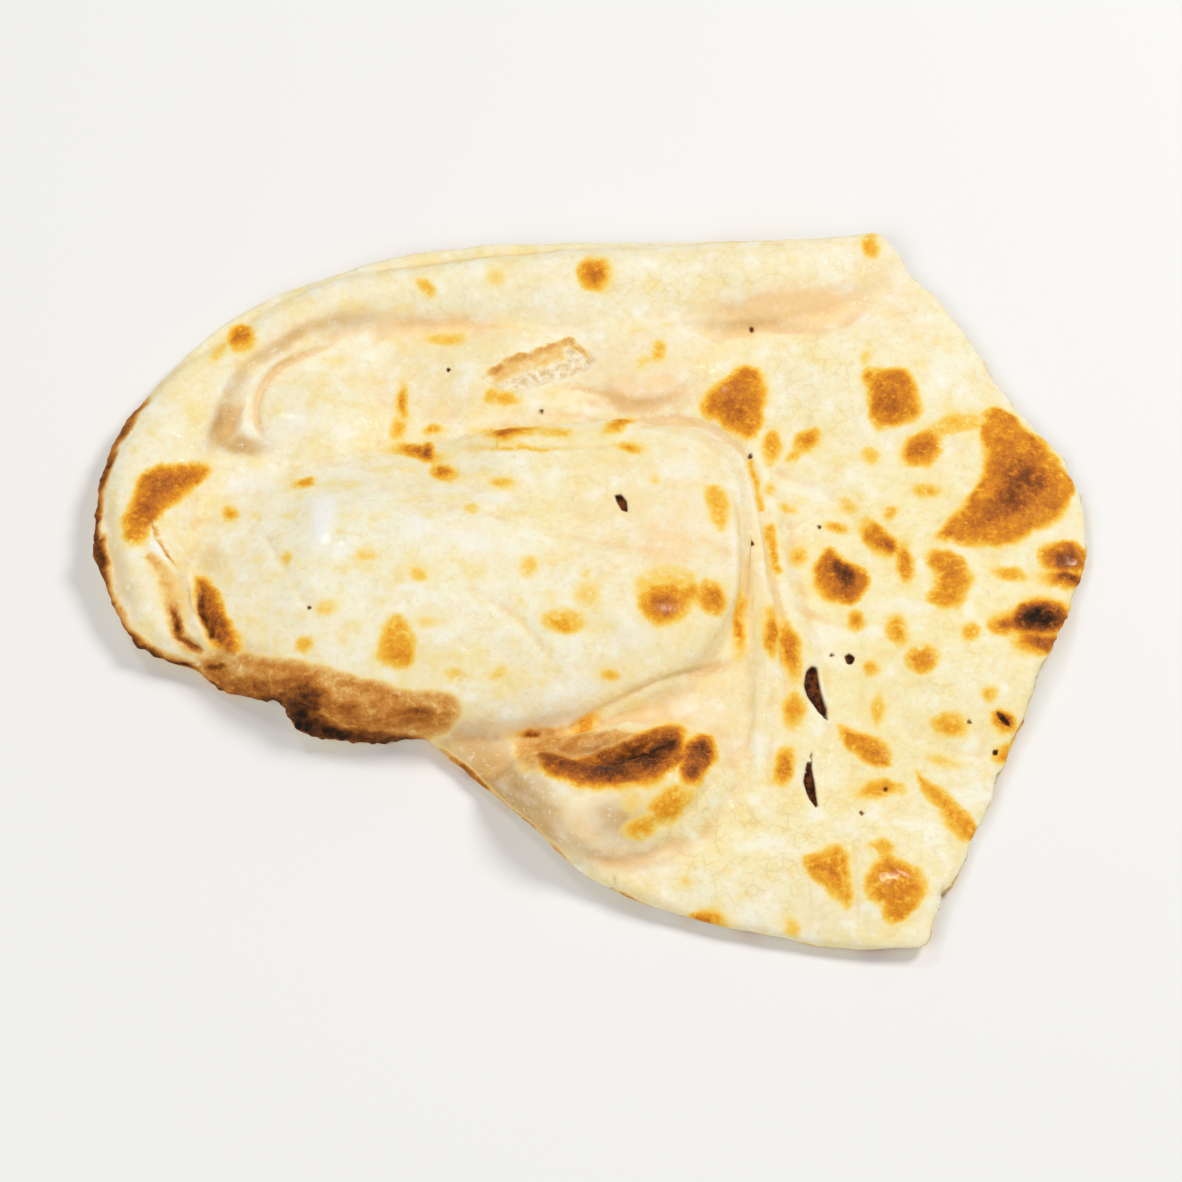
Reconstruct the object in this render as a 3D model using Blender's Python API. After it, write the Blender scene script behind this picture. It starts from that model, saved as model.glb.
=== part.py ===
"""A torn half of a butter naan, lying as it came out of the clay oven.

One piece of flatbread is one closed solid, so the scene holds one object. It is modelled as the
bread is made: a thin sheet of dough with a flat base, whose top skin has puffed into a long
pillow, smaller blisters and a rolled upper rim. The left end is the naan's own rounded crust,
and the right side is the ragged line where the other half was torn away.

The design is in millimetres on the plan, x along the bread and y away from the viewer, and the
mesh is made in metres with its origin under the middle of the bread's box.
"""

import math

import bpy
import numpy as np
from mathutils import Vector, geometry, noise

MM = 0.001
NODE = "naan"

# The sheet of dough
SHEET = 4.4  # thickness of plain, unpuffed bread
TORN_SHEET = 3.0  # the sheet is stretched thinner towards the torn side
THINNING_REACH = 30.0  # how far in from the tear the sheet is thinner
RIM_ROUND = 3.4  # reach of the rounded edge all round
RIM_LEVEL = 0.45  # height of the outline within the sheet, as a share of its thickness

# Mesh fineness
EDGE_STEP = 3.0  # along the outline
TOP_STEP = 4.1  # between points of the upper skin
BASE_STEP = 9.0  # between points of the base
TOP_RINGS = (0.5, 1.6, 3.2)  # extra rings of points just inside the edge, upper skin
BASE_RINGS = (0.9, 3.2)  # the same for the base
ROW_STEP = 2.9  # along a row of points that follows a crease
ROW_GAP = 1.25  # least gap between two such points
ROW_SHORT = (0.0, 1.4, 3.6)  # rows lie this far short of the reach of a roll or fold
WIDEST_ROW = 17.0  # a side that reaches further than this is too gentle to need rows

# The outline, anticlockwise from the upper torn corner, as (x, y) on the plan. A stretch ends at
# each corner and is one smooth curve between them.
UPPER_TORN_CORNER = (66, 92.5)
LOWER_TORN_CORNER = (74, -96.5)
CRUST_CORNER = (-38, -42)  # where the pillow's burnt flank meets the lower rim
UPPER_AND_CRUST_SIDE = [
    UPPER_TORN_CORNER, (52, 91), (10, 90), (-22, 89), (-46, 85.5), (-70, 76), (-85, 66.5),
    (-99.5, 51), (-111, 33), (-114.5, 10), (-112.5, -1), (-109, -11), (-104, -19), (-96, -23.5),
    (-91, -24), (-86, -28.5), (-78, -32), (-72, -33), (-69, -36.5), (-68.5, -40.5), (-62, -43),
    (-50, -43), CRUST_CORNER,
]
LOWER_SIDE = [
    CRUST_CORNER, (-28, -52), (-14.5, -65.5), (-4, -77), (10, -84.5), (25, -89.5), (40, -93),
    (57, -96), LOWER_TORN_CORNER,
]
TORN_SIDE = [
    LOWER_TORN_CORNER, (78, -84), (83.5, -74), (93.5, -47), (103.5, -21), (112.5, 6), (111.5, 22),
    (106, 34), (98, 44.5), (84, 68), UPPER_TORN_CORNER,
]
TEAR_RAGGED = 1.3  # how far the tear wanders off its smooth line
TEAR_NOTCH = 7.0  # the length of one notch of the tear

# The long pillow: a puffed skin along the bread, blunt at its right end
PILLOW_X = (-94.0, 35.0)  # its two ends
PILLOW_WIDEST_X = -32.0
PILLOW_HALF_WIDTH = 39.5
PILLOW_Y = -4.5  # its middle line at the sag, from which both ends swing up
PILLOW_SAG_X = -50.0
PILLOW_SWING = 0.0018  # in 1/mm
PILLOW_RISES = ((-94, 0.6), (-62, 1.0), (-25, 0.95), (35, 0.7))  # x, share of the full rise
PILLOW_RISE = 16.0
PILLOW_END_POWERS = (2.2, 5.0)  # plan squareness of its left and right ends
PILLOW_SIDE_POWER = 2.3
PILLOW_STEEP, PILLOW_GENTLE = 0.55, 1.15  # power of its flank: steep but for the upper left
PILLOW_LEAN = 1.8  # how far a steep flank leans out over the crease at its foot
PILLOW_LEVELS = (1.04, 1.0, 0.93, 0.82, 0.66)  # contours that carry a row of points

# Blisters: centre, half length, half width, turn in degrees, rise, power of the flank
BLISTERS = {
    "left_blister": ((-63, 41), 15, 13, 0, 4.2, 1.0),
    "upper_mound": ((-20, 54), 28, 14, 4, 4.6, 1.2),
    "upper_lobe": ((12, 57), 20, 13.5, -12, 5.4, 0.7),
    "lower_bulge": ((3, -58), 29, 18, 12, 10.5, 0.82),
    "torn_side_mound": ((76, 4), 34, 60, 6, 2.6, 1.5),
    "upper_torn_mound": ((66, 50), 24, 22, -30, 3.0, 1.4),
    "lower_corner_mound": ((50, -74), 34, 19, -8, 3.4, 1.3),
}
BLISTER_SQUARENESS = 2.2

# Rolls of puffed skin along a path, as (x, y, reach to its left, reach to its right, rise)
ROLLS = {
    "upper_roll": [
        (-91, 44, 8, 8, 2.5), (-79, 57, 7, 6, 4.0), (-62, 69, 7, 6, 5.0), (-36, 75, 7, 9, 5.8),
        (-5, 77, 9, 14, 6.6), (30, 80, 9, 15, 7.2), (52, 83, 8, 13, 6.0), (64, 86, 6, 9, 2.5),
    ],
    "crust_roll": [
        (-80, 59, 5, 5, 2.0), (-92, 45, 8, 8, 4.5), (-101, 26, 11, 10, 5.6), (-101, 4, 10, 9, 5.6),
        (-95, -12, 7, 9, 4.5), (-82, -25, 5, 7, 2.5),
    ],
}
ROLL_POWER = 0.8
BLEND = 0.9  # how softly two puffed skins meet, so that a narrow crease stays between them

# Folds and grooves of the skin, laid over the puffed shape, as the rolls are
FOLDS = {
    "stretch_fold": [
        (33, 33, 2.4, 2.4, 0.3), (37, 14, 2.6, 2.6, 2.0), (38.5, -8, 2.6, 2.6, 2.2),
        (39, -30, 2.6, 2.6, 2.2), (37, -52, 2.4, 2.4, 0.3),
    ],
    "torn_side_step": [
        (36, 39, 3, 30, 0.0), (40, 24, 2.8, 44, 3.0), (42.5, 6, 2.8, 50, 3.8),
        (45.5, -12, 2.8, 50, 3.8), (50, -28, 2.8, 46, 3.2), (50.5, -44, 3, 40, 1.8), (48, -58, 3, 30, 0.0),
    ],
    "bulge_groove": [
        (-18, -46, 3, 3, 0.0), (-6, -50, 4, 4, -4.0), (8, -52, 4, 4, -4.5), (22, -48, 3, 3, 0.0),
    ],
    "pillow_top_groove": [
        (-46, 24, 6, 6, 0.0), (-24, 15, 6, 6, -1.8), (-2, 9, 6, 6, -1.6), (24, 6, 6, 6, 0.0),
    ],
    "lower_corner_groove": [(53, -62, 3, 3, 0.0), (54, -73, 3, 3, -1.3), (53, -86, 3, 3, 0.0)],
}

# Unevenness of hand-stretched dough: wavelength and height of each layer
TOP_WAVES = ((34.0, 1.5), (15.0, 0.9), (8.0, 0.35))
LIFT_WAVE = 46.0
LIFT_REACH = 20.0  # the edge lifts off the table within this distance
EDGE_LIFT = 3.4
TIP_LIFT = 4.6  # the left tip curls up a little more
TIP_LIFT_X = (-84.0, -114.0)
CORNER_LIFT = 2.4  # so do the two torn corners
CORNER_REACH = 28.0
MOST_LIFT = 6.0

CRUMB_COLOUR = (0.90, 0.78, 0.53, 1.0)
CRUST_ROUGHNESS = 0.55


def clear_scene():
    for obj in list(bpy.data.objects):
        bpy.data.objects.remove(obj, do_unlink=True)


def smooth_step(value):
    t = np.clip(value, 0.0, 1.0)
    return t * t * (3.0 - 2.0 * t)


def waves(points, wavelength, seed):
    """Smooth noise from -1 to 1 at each plan point."""
    height = 10.0 * seed
    return np.array([noise.noise(Vector((x / wavelength, y / wavelength, height))) for x, y in points])


# Curves on the plan -------------------------------------------------------------------------


def evenly(path, step, keep_end=False):
    """The rows of a dense path taken about a step apart along its first two columns."""
    along = np.concatenate([[0.0], np.cumsum(np.linalg.norm(np.diff(path[:, :2], axis=0), axis=1))])
    count = max(2, round(along[-1] / step))
    wanted = np.linspace(0.0, along[-1], count + keep_end, endpoint=keep_end)
    return np.column_stack([np.interp(wanted, along, column) for column in path.T])


def curve_through(stations):
    """A dense smooth curve through the stations, in all of their columns."""
    knots = np.array(stations, float)
    knots = np.vstack([2 * knots[0] - knots[1], knots, 2 * knots[-1] - knots[-2]])
    fine = []
    for a, b, c, d in zip(knots, knots[1:], knots[2:], knots[3:]):
        for t in np.linspace(0.0, 1.0, 40, endpoint=False):
            fine.append(
                0.5 * (2 * b + (c - a) * t + (2 * a - 5 * b + 4 * c - d) * t**2
                       + (3 * b - a - 3 * c + d) * t**3)
            )
    return np.array(fine + [knots[-2]])


def left_of(path):
    """The unit direction to the left of an open path at each of its points."""
    ahead = np.gradient(path[:, :2], axis=0)
    return np.column_stack([-ahead[:, 1], ahead[:, 0]]) / np.linalg.norm(ahead, axis=1)[:, None]


def ragged(points):
    """The points of the tear pushed to and fro across it, fading out at its two corners."""
    order = np.arange(len(points))
    fade = smooth_step(np.minimum(order, order[::-1]) / 2.0)
    push = waves(points, TEAR_NOTCH, 3) + 0.6 * waves(points, TEAR_NOTCH / 2, 4)
    return points + left_of(points) * (TEAR_RAGGED * fade * push)[:, None]


def outline():
    """The edge of the bread as a closed ring of plan points, anticlockwise."""
    crust, lower, torn = (
        evenly(curve_through(side), EDGE_STEP) for side in (UPPER_AND_CRUST_SIDE, LOWER_SIDE, TORN_SIDE)
    )
    return np.vstack([crust, lower, ragged(torn)])


def nearest_on(points, path, closed=False):
    """Distance to a path, where on it (in legs from its start), and the side: 1 is left."""
    starts = path if closed else path[:-1]
    ends = np.roll(path, -1, axis=0) if closed else path[1:]
    legs = (ends - starts)[:, :2]
    away = points[:, None, :] - starts[None, :, :2]
    t = np.clip((away * legs).sum(2) / (legs**2).sum(1), 0.0, 1.0)
    gap = np.linalg.norm(away - t[:, :, None] * legs, axis=2)
    leg = gap.argmin(axis=1)
    rows = np.arange(len(points))
    turn = legs[leg, 0] * away[rows, leg, 1] - legs[leg, 1] * away[rows, leg, 0]
    return gap[rows, leg], leg + t[rows, leg], np.where(turn > 0, 1, -1)


def edge_distance(points, ring):
    return nearest_on(points, ring, closed=True)[0]


def inside(points, ring):
    """Which points lie inside the closed ring, by counting crossings."""
    x, y = points[:, 0][:, None], points[:, 1][:, None]
    ax, ay = ring.T
    bx, by = np.roll(ring, -1, axis=0).T
    spans = (ay > y) != (by > y)
    with np.errstate(divide="ignore", invalid="ignore"):
        crossing = x < (bx - ax) * (y - ay) / (by - ay) + ax
    return (spans & crossing).sum(axis=1) % 2 == 1


# Relief -------------------------------------------------------------------------------------


def pillow_middle(x):
    return PILLOW_Y + PILLOW_SWING * (x - PILLOW_SAG_X) ** 2


def pillow_profile(points):
    """How far out each point is in the pillow's plan, 0 in its middle and 1 at its foot."""
    x, y = points.T
    along = x - PILLOW_WIDEST_X
    reach = np.where(along > 0, PILLOW_X[1] - PILLOW_WIDEST_X, PILLOW_WIDEST_X - PILLOW_X[0])
    power = np.where(along > 0, PILLOW_END_POWERS[1], PILLOW_END_POWERS[0])
    across = (y - pillow_middle(x)) / PILLOW_HALF_WIDTH
    return np.abs(along / reach) ** power + np.abs(across) ** PILLOW_SIDE_POWER


def pillow_contour(level):
    """The plan line on which the pillow's profile has one value."""
    turn = np.linspace(0.0, 2 * math.pi, 400)
    right = np.cos(turn) > 0
    power = np.where(right, PILLOW_END_POWERS[1], PILLOW_END_POWERS[0])
    reach = np.where(right, PILLOW_X[1] - PILLOW_WIDEST_X, PILLOW_WIDEST_X - PILLOW_X[0])
    x = PILLOW_WIDEST_X + reach * np.sign(np.cos(turn)) * (level * np.cos(turn) ** 2) ** (1 / power)
    out = np.sign(np.sin(turn)) * (level * np.sin(turn) ** 2) ** (1 / PILLOW_SIDE_POWER)
    return np.column_stack([x, pillow_middle(x) + PILLOW_HALF_WIDTH * out])


def gentle_share(points):
    """1 on the upper left of the pillow, where it slopes off gently, and 0 elsewhere."""
    x, y = points.T
    return smooth_step((y - pillow_middle(x) + 8.0) / 28.0) * smooth_step((-18.0 - x) / 26.0)


def pillow(points):
    share = np.interp(points[:, 0], *zip(*PILLOW_RISES))
    power = PILLOW_STEEP + (PILLOW_GENTLE - PILLOW_STEEP) * gentle_share(points)
    return PILLOW_RISE * share * np.clip(1.0 - pillow_profile(points), 0.0, 1.0) ** power


def blister(points, centre, half_length, half_width, turn, rise, power):
    angle = math.radians(turn)
    away = points - np.array(centre, float)
    u = (away[:, 0] * math.cos(angle) + away[:, 1] * math.sin(angle)) / half_length
    v = (away[:, 1] * math.cos(angle) - away[:, 0] * math.sin(angle)) / half_width
    out = np.abs(u) ** BLISTER_SQUARENESS + np.abs(v) ** BLISTER_SQUARENESS
    return rise * np.clip(1.0 - out, 0.0, 1.0) ** power


def ridge(points, stations, power):
    """Height of a roll or fold over its path, by its own reach and rise at the nearest station."""
    path = evenly(curve_through(stations), 2.0, keep_end=True)
    gap, place, side = nearest_on(points, path)
    left, right, rise = (np.interp(place, range(len(path)), column) for column in path.T[2:])
    reach = np.where(side > 0, left, right)
    return rise * np.clip(1.0 - (gap / reach) ** 2, 0.0, 1.0) ** power


def puffed(points):
    """Height of the puffed skins over the plain sheet, with a narrow crease where two meet."""
    skins = [pillow(points)]
    skins += [blister(points, *shape) for shape in BLISTERS.values()]
    skins += [ridge(points, stations, ROLL_POWER) for stations in ROLLS.values()]
    return BLEND * np.log(1.0 + sum(np.exp(skin / BLEND) - 1.0 for skin in skins))


def lift(points, ring):
    """Height of the underside: flat on the table, but for edges and corners that curl up."""
    near = smooth_step(1.0 - edge_distance(points, ring) / LIFT_REACH)
    height = EDGE_LIFT * near * np.clip(waves(points, LIFT_WAVE, 7) * 1.8 + 0.1, 0.0, 1.0)
    span = TIP_LIFT_X[1] - TIP_LIFT_X[0]
    height += TIP_LIFT * smooth_step((points[:, 0] - TIP_LIFT_X[0]) / span) * near
    for corner in (UPPER_TORN_CORNER, LOWER_TORN_CORNER):
        gap = np.linalg.norm(points - np.array(corner, float), axis=1)
        height += CORNER_LIFT * smooth_step(1.0 - gap / CORNER_REACH)
    return MOST_LIFT * np.tanh(height / MOST_LIFT)


def thickness(points):
    """The plain sheet, thinner towards the tear."""
    from_tear = nearest_on(points, np.array(TORN_SIDE, float))[0]
    return TORN_SHEET + (SHEET - TORN_SHEET) * smooth_step(from_tear / THINNING_REACH)


def rounding(points, ring):
    """0 at the edge and 1 past the rounded rim, as a quarter circle rises."""
    t = np.clip(edge_distance(points, ring) / RIM_ROUND, 0.0, 1.0)
    return np.sqrt(1.0 - (1.0 - t) ** 2)


def rim_height(points, ring):
    return lift(points, ring) + RIM_LEVEL * thickness(points)


def top_height(points, ring):
    sheet = thickness(points)
    height = lift(points, ring) + sheet + puffed(points)
    height += sum(ridge(points, stations, 2.0) for stations in FOLDS.values())
    for seed, (wavelength, rise) in enumerate(TOP_WAVES, start=11):
        height += rise * waves(points, wavelength, seed)
    rim = rim_height(points, ring)
    height = np.maximum(height, rim + 0.4 * sheet)
    return rim + (height - rim) * rounding(points, ring)


def base_height(points, ring):
    low = lift(points, ring)
    return low + RIM_LEVEL * thickness(points) * (1.0 - rounding(points, ring))


def lean_out(points):
    """The pillow's steep flank leans out over its foot: the plan shift of each top point."""
    out = pillow_profile(points)
    middle_x = np.clip(points[:, 0], PILLOW_X[0] + 34, PILLOW_X[1] - 26)
    away = points - np.column_stack([middle_x, pillow_middle(middle_x)])
    away /= np.maximum(np.linalg.norm(away, axis=1), 1.0)[:, None]
    amount = smooth_step((out - 0.4) / 0.35) * smooth_step((1.0 - out) / 0.2)
    return (PILLOW_LEAN * amount * (1.0 - gentle_share(points)))[:, None] * away


# Mesh ---------------------------------------------------------------------------------------


def crease_rows():
    """Rows of plan points that follow the pillow's foot and both sides of each roll and fold."""
    rows = [evenly(pillow_contour(level), ROW_STEP) for level in PILLOW_LEVELS]
    for stations in [*FOLDS.values(), *ROLLS.values()]:
        path = evenly(curve_through(stations), ROW_STEP, keep_end=True)
        rows.append(path[:, :2])
        for side, reach in ((1, path[:, 2]), (-1, path[:, 3])):
            for short in ROW_SHORT:
                offset = np.maximum(reach - short, 0.5 * reach)
                rows.append((path[:, :2] + side * offset[:, None] * left_of(path))[reach < WIDEST_ROW])
    return np.vstack(rows)


def lattice(ring, step):
    """An even triangular lattice of points over the ring's box."""
    low, high = ring.min(axis=0), ring.max(axis=0)
    row_step = step * math.sqrt(3) / 2
    points = []
    for row in range(int((high[1] - low[1]) / row_step) + 1):
        shift = 0.5 * step * (row % 2)
        for column in range(int((high[0] - low[0]) / step) + 1):
            points.append((low[0] + shift + column * step, low[1] + row * row_step))
    return np.array(points)


def clear_of_edge(points, ring, margin):
    points = points[inside(points, ring)]
    return points[edge_distance(points, ring) > margin]


def inset(ring, distance):
    """The ring moved inwards, without the points that a sharp corner leaves too near the edge."""
    ahead = np.roll(ring, -1, axis=0) - np.roll(ring, 1, axis=0)
    inward = np.column_stack([-ahead[:, 1], ahead[:, 0]]) / np.linalg.norm(ahead, axis=1)[:, None]
    return clear_of_edge(ring + inward * distance, ring, 0.93 * distance)


def added(kept, candidates, gap):
    """The kept points, and each candidate that stays a gap away from all points before it."""
    for point in candidates:
        if len(kept) == 0 or np.hypot(*(kept - point).T).min() > gap:
            kept = np.vstack([kept, point])
    return kept


def triangulate(ring, insets, rows, step):
    """Plan points of one skin and its triangles. The ring's own points come first."""
    points = np.vstack([ring, *[inset(ring, distance) for distance in insets]])
    fixed = len(points)
    margin = insets[-1] + 0.8
    inner = added(np.empty((0, 2)), clear_of_edge(rows, ring, margin), ROW_GAP)
    grid = clear_of_edge(lattice(ring, step), ring, insets[-1] + 0.6 * step)
    if len(inner):
        nearest = np.array([np.hypot(*(inner - point).T).min() for point in grid])
        grid = grid[nearest > 0.62 * step]
    points = np.vstack([points[:fixed], inner, grid])
    found = geometry.delaunay_2d_cdt(
        [Vector(p) for p in points], [], [list(range(len(ring)))], 1, 1e-5
    )
    return np.array([tuple(p) for p in found[0]]), found[2]


def build_bread(ring):
    """Upper skin and base share the ring of edge points, so together they close the solid."""
    top, top_faces = triangulate(ring, TOP_RINGS, crease_rows(), TOP_STEP)
    base, base_faces = triangulate(ring, BASE_RINGS, np.empty((0, 2)), BASE_STEP)
    edge = len(ring)
    rim = np.column_stack([ring, rim_height(ring, ring)])
    upper = np.column_stack([top[edge:] + lean_out(top[edge:]), top_height(top[edge:], ring)])
    lower = np.column_stack([base[edge:], base_height(base[edge:], ring)])
    points = np.vstack([rim, upper, lower])
    middle = (points.max(axis=0) + points.min(axis=0)) / 2
    points -= (middle[0], middle[1], points[:, 2].min())
    skip = len(upper)
    faces = [tuple(face) for face in top_faces]
    faces += [tuple(i if i < edge else i + skip for i in reversed(face)) for face in base_faces]
    mesh = bpy.data.meshes.new(NODE)
    mesh.from_pydata([tuple(p * MM) for p in points], [], faces)
    mesh.validate()
    mesh.shade_smooth()
    return mesh


def bread_material():
    material = bpy.data.materials.new("baked_dough")
    material.use_nodes = True
    shader = material.node_tree.nodes["Principled BSDF"]
    shader.inputs["Base Color"].default_value = CRUMB_COLOUR
    shader.inputs["Roughness"].default_value = CRUST_ROUGHNESS
    shader.inputs["Metallic"].default_value = 0.0
    return material


def main():
    clear_scene()
    mesh = build_bread(outline())
    mesh.materials.append(bread_material())
    naan = bpy.data.objects.new(NODE, mesh)
    bpy.context.scene.collection.objects.link(naan)


main()
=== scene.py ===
"""Looks of a torn half of a butter naan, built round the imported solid.

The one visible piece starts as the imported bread, subdivided. Its upper skin is then worked like
the real one: creases where two puffs meet, stretch wrinkles, a torn flake, slits, small raised
blisters under the toast marks and the grain of the dough. Marks and creases are named by where
the photograph shows them, in its pixels, and laid on the bread along the viewing direction. The
sides, the back and the underside, which it doesn't show, get marks of their own.
"""

import math

import bmesh
import bpy
import numpy as np
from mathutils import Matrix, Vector, noise


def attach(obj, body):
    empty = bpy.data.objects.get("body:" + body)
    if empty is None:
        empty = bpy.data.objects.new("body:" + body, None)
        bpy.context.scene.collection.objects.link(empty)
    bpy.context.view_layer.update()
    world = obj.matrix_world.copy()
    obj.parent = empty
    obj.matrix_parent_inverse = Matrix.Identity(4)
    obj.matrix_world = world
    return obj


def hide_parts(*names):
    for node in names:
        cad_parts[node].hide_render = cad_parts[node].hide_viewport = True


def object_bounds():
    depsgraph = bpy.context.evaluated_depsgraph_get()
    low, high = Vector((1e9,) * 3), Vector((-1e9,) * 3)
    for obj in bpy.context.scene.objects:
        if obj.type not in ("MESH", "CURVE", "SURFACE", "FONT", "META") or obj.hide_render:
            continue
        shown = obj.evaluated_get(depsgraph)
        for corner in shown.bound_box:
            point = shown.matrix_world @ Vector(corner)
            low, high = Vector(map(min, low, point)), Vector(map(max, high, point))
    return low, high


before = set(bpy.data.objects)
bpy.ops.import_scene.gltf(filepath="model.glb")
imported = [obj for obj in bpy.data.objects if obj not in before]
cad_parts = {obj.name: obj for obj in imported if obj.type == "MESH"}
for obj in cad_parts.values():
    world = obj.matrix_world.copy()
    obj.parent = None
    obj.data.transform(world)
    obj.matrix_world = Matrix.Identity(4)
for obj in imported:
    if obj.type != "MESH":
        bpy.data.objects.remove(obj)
CAD_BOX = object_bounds()

MM = 0.001
NODE = "naan"

# How the photograph's pixels lie on the bread
PHOTO_CENTRE = (377.65, 634.6)  # the photograph's pixel at the middle of the bread's base
MM_PER_PIXEL = 0.5
VIEW_ELEVATION = math.radians(60)
FRAME_PIXELS = 540.0  # width of the part of the photograph that the camera frames
LENS, SENSOR = 320.0, 36.0

SUBDIVISIONS = 2
MERGE_DISTANCE = 1e-6  # metres
BOX_MARGIN = 0.02  # mm that the piece stays inside the solid's box

# Smooth noise is given in layers: amount, wavelength in mm and seed of each. First the height in
# mm on the upper skin, the base, scorched skin, the torn edge and under the flake
GRAIN = [(0.32, 9.0, 1), (0.24, 4.2, 2), (0.11, 2.1, 3)]
BASE_GRAIN = [(0.35, 6.0, 13)]
BARK_GRAIN = [(0.5, 3.4, 17), (0.4, 1.7, 18)]
TORN_GRAIN = [(0.5, 1.7, 15), (0.3, 3.6, 16)]
FLAKE_GRAIN = [(0.25, 1.6, 9)]
# How far the marks wander in pixels, across and down
STAIN_WARPS = [[(1.9, 6.0, 5), (0.9, 2.4, 7)], [(1.9, 6.0, 25), (0.9, 2.4, 27)]]
# How the softness of the marks' edges and the width of the browned rim vary
SPREAD_LAYERS = [(1.4, 7.0, 41)]
RIM_LAYERS = [(1.0, 5.0, 31)]

# Creases: depth in mm, half width in pixels, path in pixels
CREASES = [
    # between the crust and the left blister, and round that blister
    (1.0, 8.0, [(216, 569), (211, 562), (211, 553), (215, 542), (222, 531), (233, 523),
                (248, 517), (264, 511), (282, 508)]),
    (0.8, 2.6, [(229, 567), (225, 559), (224, 550), (227, 540), (233, 532), (242, 527),
                (251, 523), (262, 520)]),
    # along the top of the pillow and down its right end
    (0.5, 2.8, [(316, 567), (340, 568), (360, 568), (378, 568), (393, 567)]),
    (1.2, 3.8, [(404, 557), (418, 556), (431, 558), (441, 564), (448, 571), (453, 583),
                (456, 598), (459, 614), (461, 630), (463, 643), (467, 655), (472, 664)]),
    (0.6, 4.0, [(433, 572), (440, 584), (445, 602), (447, 622), (446, 640), (444, 655),
                (441, 670)]),
    # along the bottom of the pillow
    (0.9, 3.4, [(444, 665), (431, 670), (415, 674), (402, 678.5), (391, 684), (381, 690),
                (370, 697), (358, 700)]),
    # under the upper roll and its lobe
    (0.8, 5.0, [(379, 539), (388, 546), (396, 550), (409, 549), (420, 543), (428, 534)]),
    (0.7, 5.6, [(428, 533), (434, 523), (441, 516), (453, 513), (470, 514), (488, 513),
                (500, 507), (508, 499)]),
    # the pinched folds at the left end
    (0.7, 2.4, [(175, 615), (179, 623), (185, 630), (189, 636)]),
    (1.5, 2.6, [(187, 636), (189, 643), (190, 650), (192, 655), (196, 657), (202, 663)]),
    (1.5, 3.0, [(198, 631), (200, 638), (203, 648), (208, 658)]),
    (0.9, 2.4, [(202, 670), (206, 669), (211, 667)]),
    # slack in the pillow's skin
    (0.6, 6.0, [(290, 589), (320, 597), (351, 603), (375, 610), (397, 615), (410, 619)]),
    (0.4, 4.0, [(296, 561), (312, 566), (329, 570)]),
    (0.4, 3.4, [(226, 604), (235, 618), (243, 631), (250, 643)]),
    (0.3, 3.4, [(193, 605), (206, 600), (218, 602), (226, 612)]),
    (0.5, 5.0, [(318, 632), (336, 640), (352, 655), (360, 668)]),
    # round and on the lower bulge
    (0.8, 4.4, [(357, 744), (369, 751), (387, 756), (401, 754), (416, 745)]),
    (0.7, 3.6, [(402, 741), (419, 735), (428, 726), (435, 716)]),
    (0.7, 2.6, [(358, 708), (374, 711), (388, 712), (400, 706), (412, 699)]),
    (0.7, 2.6, [(366, 715), (380, 719), (394, 719), (407, 713), (416, 704)]),
    (0.5, 3.4, [(322, 716), (340, 728), (352, 733), (366, 733)]),
    (0.6, 1.8, [(388, 762), (388, 766), (387, 770)]),
    # the torn side
    (0.6, 2.8, [(396, 556), (384, 545), (372, 541), (358, 541)]),
    (0.4, 3.8, [(430, 541), (422, 550), (408, 556), (396, 560)]),
    (0.5, 3.8, [(466, 640), (480, 646), (492, 650), (508, 648)]),
    (0.5, 4.2, [(457, 577), (470, 583), (485, 589), (501, 605)]),
    (0.3, 4.0, [(462, 606), (474, 603), (490, 590), (508, 582)]),
    (0.5, 4.0, [(495, 742), (496, 755), (497, 768), (497, 788)]),
    (0.4, 6.0, [(520, 580), (534, 600), (556, 616), (576, 622)]),
    (0.4, 6.0, [(515, 692), (530, 702), (548, 708), (562, 704)]),
    (0.5, 1.8, [(566, 563), (570, 566), (576, 567)]),
]

# Raised ridges of stretched skin: height in mm, half width in pixels, path in pixels
WRINKLES = [
    (0.6, 4.2, [(440, 580), (442, 600), (443, 622), (442, 645)]),
    (0.6, 4.2, [(450, 590), (452, 620), (453, 650), (453, 680), (453, 705), (455, 735)]),
    (0.7, 3.8, [(460, 625), (461, 655), (463, 685), (462, 712), (459, 738)]),
    (0.8, 3.6, [(465, 642), (469, 660), (471, 680), (470, 700)]),
    (0.7, 3.6, [(222, 568), (219, 556), (220, 544), (226, 533), (238, 525), (256, 518)]),
    (0.9, 3.6, [(191, 631), (195, 643), (200, 652), (206, 662)]),
    (0.8, 3.6, [(177, 610), (183, 620), (191, 630)]),
    (0.6, 7.0, [(244, 600), (262, 596), (284, 601), (304, 611), (322, 617)]),
    (0.8, 3.0, [(362, 712), (376, 715), (392, 715), (404, 709), (414, 701)]),
    (0.5, 3.6, [(360, 704), (374, 705), (386, 700), (396, 693)]),
    (0.4, 4.0, [(397, 561), (410, 563), (424, 566), (436, 573)]),
    (0.4, 3.8, [(340, 551), (356, 549), (372, 550), (386, 555)]),
    (0.5, 4.0, [(502, 742), (506, 758), (507, 772), (504, 788)]),
    (0.4, 6.0, [(506, 545), (503, 580), (507, 612), (505, 650), (503, 690)]),
    (0.3, 6.0, [(430, 500), (455, 497), (480, 494), (500, 487)]),
    (0.4, 5.0, [(540, 560), (560, 575), (575, 600), (590, 640)]),
]

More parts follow.
